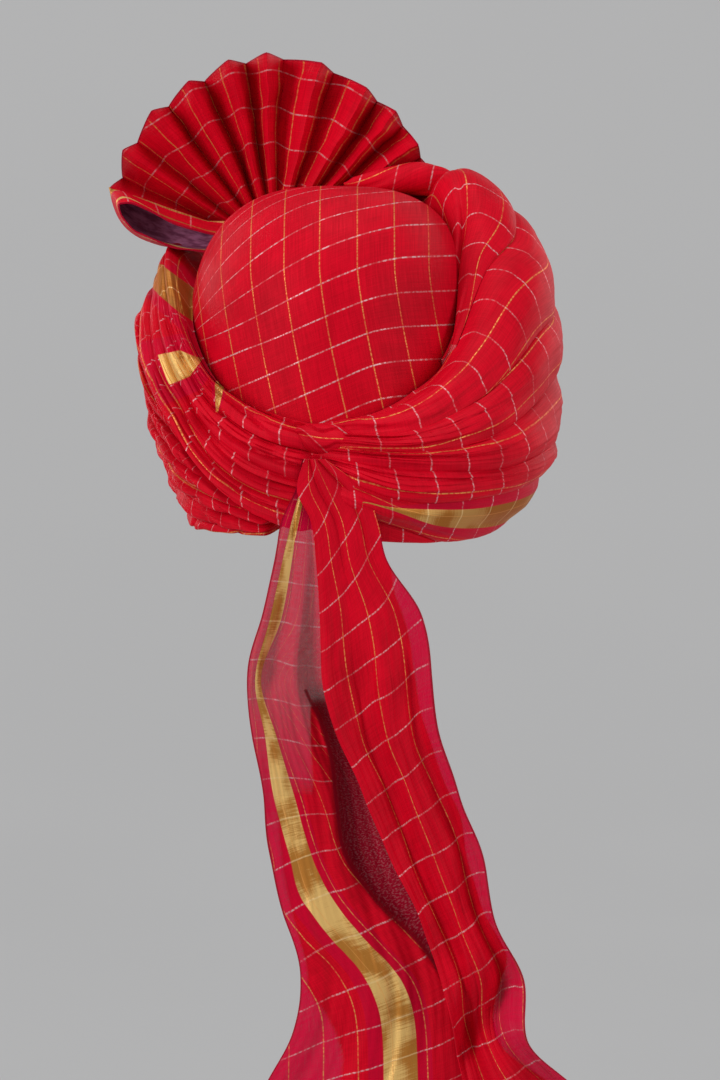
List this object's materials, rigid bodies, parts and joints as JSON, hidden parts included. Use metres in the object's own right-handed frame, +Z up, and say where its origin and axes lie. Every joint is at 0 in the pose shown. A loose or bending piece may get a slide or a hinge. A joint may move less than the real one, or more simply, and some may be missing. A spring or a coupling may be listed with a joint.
{
  "type": "tied turban",
  "caption": "Tied turban of red checked silk with a pleated fan on the crown, stacked side wraps, a gold hem border and a long loose tail at the nape.",
  "frame": {"origin": "point on the inside of the crown cloth where the top of the wearer's head touches it", "axes": "+Z up, +Y the way the wearer faces, +X to the wearer's right"},
  "size_m": [0.283, 0.281, 0.6009],
  "materials": {
    "silk_check": "soft sheen",
    "sheer_silk": "sheer"
  },
  "bodies": {
    "root": {"crown_cap": "silk_check", "fan_curl": "silk_check", "fan_wrap": "silk_check", "hem_band": "silk_check", "left_front_turn": "silk_check", "left_inner_roll": "silk_check", "left_outer_roll": "silk_check", "left_pleat_1": "silk_check", "left_pleat_2": "silk_check", "left_wrap_1": "silk_check", "left_wrap_2": "silk_check", "left_wrap_3": "silk_check", "left_wrap_4": "silk_check", "left_wrap_5": "silk_check", "left_wrap_6": "silk_check", "left_wrap_7": "silk_check", "nape_knot": "silk_check", "right_sweep": "silk_check", "right_wrap_1": "silk_check", "right_wrap_2": "silk_check", "right_wrap_3": "silk_check", "tail_left_panel": "sheer_silk", "tail_right_panel": "silk_check", "top_puff": "silk_check", "turra_fan": "silk_check", "under_band": "silk_check"}
  },
  "joints": []
}
